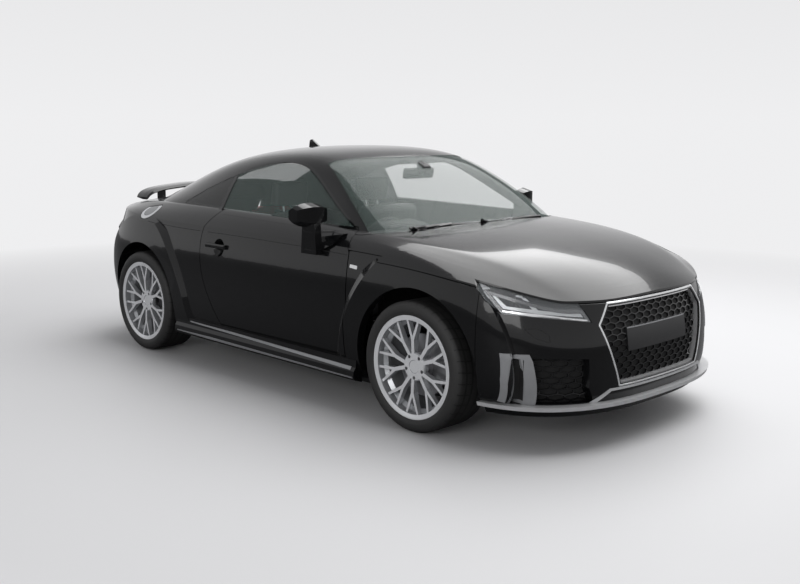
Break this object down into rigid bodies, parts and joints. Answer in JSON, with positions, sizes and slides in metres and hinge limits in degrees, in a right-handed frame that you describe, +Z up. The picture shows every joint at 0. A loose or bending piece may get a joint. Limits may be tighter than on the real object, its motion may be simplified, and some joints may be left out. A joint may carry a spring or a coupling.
{
  "type": "coupe car",
  "caption": "Two-door fastback coupe with clamshell bonnet, liftback tailgate, rear wing on struts, forked-spoke alloy wheels and a trimmed four-seat cabin",
  "frame": {"origin": "on the ground at the middle of the overall length, on the centre plane", "axes": "+X forward to the nose, +Y to the car's left, +Z up"},
  "size_m": [4.1917, 1.966, 1.3855],
  "materials": {
    "paint": "gloss",
    "flap_silver": "satin",
    "clear_glass": "clear, light green tint",
    "lamp_lens": "clear",
    "lamp_inner": "gloss black with silver reflectors",
    "red_lens": "gloss red",
    "satin_grey": "satin",
    "dark_plastic": "grained",
    "frame_steel": "primer",
    "rim_alloy": "bright lacquer",
    "tyre_rubber": "matt",
    "disc_iron": "turned",
    "engine_alloy": "cast",
    "exhaust_steel": "polished tips",
    "trim_black": "soft grain",
    "wheel_leather": "smooth",
    "seat_leather": "smooth"
  },
  "bodies": {
    "shell": {"side_frame_left": "paint", "side_frame_right": "paint", "front_wing_left": "paint", "front_wing_right": "paint", "front_bumper": "paint", "rear_bumper": "paint", "roof": "paint", "windscreen": "clear_glass", "quarter_glass": "clear_glass", "headlamps": "lamp_inner", "headlamp_lenses": "lamp_lens", "tail_lamps": "red_lens", "rear_diffuser": "dark_plastic", "side_skirts": "dark_plastic", "grille": "dark_plastic", "grille_frame": "flap_silver", "plate_holder": "dark_plastic", "cowl": "dark_plastic", "front_splitter": "flap_silver", "intake_blades": "satin_grey", "floor_pan": "frame_steel", "rear_panel": "frame_steel", "front_frame": "frame_steel", "front_subframe": "frame_steel", "rear_axle": "frame_steel", "engine_block": "engine_alloy", "radiator": "engine_alloy", "exhaust": "exhaust_steel", "dashboard": "trim_black", "front_seats": "seat_leather", "rear_seats": "seat_leather"},
    "bonnet": {"bonnet": "paint"},
    "tailgate": {"tailgate": "paint", "rear_glass": "clear_glass", "rear_wing": "paint"},
    "door_left": {"door_left": "paint", "door_glass_left": "clear_glass"},
    "door_right": {"door_right": "paint", "door_glass_right": "clear_glass"},
    "fuel_flap": {"fuel_flap": "flap_silver"},
    "steering_wheel": {"steering_wheel": "wheel_leather"},
    "knuckle_left": {"knuckle_left": "frame_steel"},
    "knuckle_right": {"knuckle_right": "frame_steel"},
    "wheel_front_left": {"wheel_front_left": "rim_alloy", "tyre_front_left": "tyre_rubber", "brake_disc_front_left": "disc_iron"},
    "wheel_front_right": {"wheel_front_right": "rim_alloy", "tyre_front_right": "tyre_rubber", "brake_disc_front_right": "disc_iron"},
    "wheel_rear_left": {"wheel_rear_left": "rim_alloy", "tyre_rear_left": "tyre_rubber", "brake_disc_rear_left": "disc_iron"},
    "wheel_rear_right": {"wheel_rear_right": "rim_alloy", "tyre_rear_right": "tyre_rubber", "brake_disc_rear_right": "disc_iron"}
  },
  "joints": [
    {"name": "bonnet_hinge", "type": "hinge", "parent": "shell", "child": "bonnet", "pos_m": [0.652, 0, 0.95], "axis": [0, -1, 0], "range_deg": [0, 50]},
    {"name": "tailgate_hinge", "type": "hinge", "parent": "shell", "child": "tailgate", "pos_m": [-0.705, 0, 1.319], "axis": [0, 1, 0], "range_deg": [0, 65]},
    {"name": "door_left_hinge", "type": "hinge", "parent": "shell", "child": "door_left", "pos_m": [0.692, 0.884, 0.6], "axis": [0, 0, -1], "range_deg": [0, 65]},
    {"name": "door_right_hinge", "type": "hinge", "parent": "shell", "child": "door_right", "pos_m": [0.692, -0.884, 0.6], "axis": [0, 0, 1], "range_deg": [0, 65]},
    {"name": "fuel_flap_hinge", "type": "hinge", "parent": "shell", "child": "fuel_flap", "pos_m": [-1.207, -0.8072, 0.93], "axis": [0, 0.6947, 0.7193], "range_deg": [0, 80]},
    {"name": "steer_left", "type": "hinge", "parent": "shell", "child": "knuckle_left", "pos_m": [1.2175, 0.725, 0.165], "axis": [0, -0.2446, 0.9696], "range_deg": [-35, 35]},
    {"name": "steer_right", "type": "hinge", "parent": "shell", "child": "knuckle_right", "pos_m": [1.2175, -0.725, 0.165], "axis": [0, 0.2446, 0.9696], "range_deg": [-35, 35]},
    {"name": "steering_column", "type": "hinge", "parent": "shell", "child": "steering_wheel", "pos_m": [0.42, -0.35, 0.8], "axis": [-0.9063, 0, 0.4226], "range_deg": [-511, 511]},
    {"name": "spin_front_left", "type": "hinge", "parent": "knuckle_left", "child": "wheel_front_left", "pos_m": [1.2175, 0.786, 0.327], "axis": [0, 1, 0], "continuous": true},
    {"name": "spin_front_right", "type": "hinge", "parent": "knuckle_right", "child": "wheel_front_right", "pos_m": [1.2175, -0.786, 0.327], "axis": [0, 1, 0], "continuous": true},
    {"name": "spin_rear_left", "type": "hinge", "parent": "shell", "child": "wheel_rear_left", "pos_m": [-1.2875, 0.776, 0.327], "axis": [0, 1, 0], "continuous": true},
    {"name": "spin_rear_right", "type": "hinge", "parent": "shell", "child": "wheel_rear_right", "pos_m": [-1.2875, -0.776, 0.327], "axis": [0, 1, 0], "continuous": true}
  ],
  "couplings": [
    {"joint": "steer_right", "follows": "steer_left", "ratio": 1},
    {"joint": "steering_column", "follows": "steer_left", "ratio": 14.6}
  ]
}
